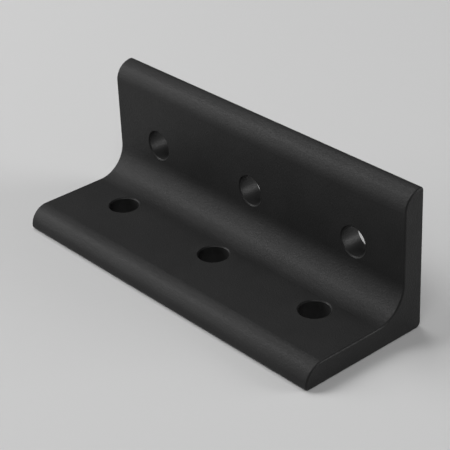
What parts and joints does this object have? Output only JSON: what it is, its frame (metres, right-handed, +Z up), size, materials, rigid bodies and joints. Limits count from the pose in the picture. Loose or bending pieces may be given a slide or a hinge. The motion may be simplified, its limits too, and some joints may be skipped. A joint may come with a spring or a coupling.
{
  "type": "inside corner bracket",
  "caption": "Black anodised aluminium angle bracket with rounded leg tips, a filleted inner corner and a row of plain bolt holes in each leg.",
  "frame": {"origin": "middle of the footprint, on the underside of the base leg", "axes": "+X along the corner, +Y from the base leg's tip towards the back face, +Z up along the back leg"},
  "size_m": [0.1112, 0.04, 0.04],
  "materials": {
    "black_anodise": "fine matte black anodised"
  },
  "bodies": {
    "root": {"bracket": "black_anodise"}
  },
  "joints": []
}
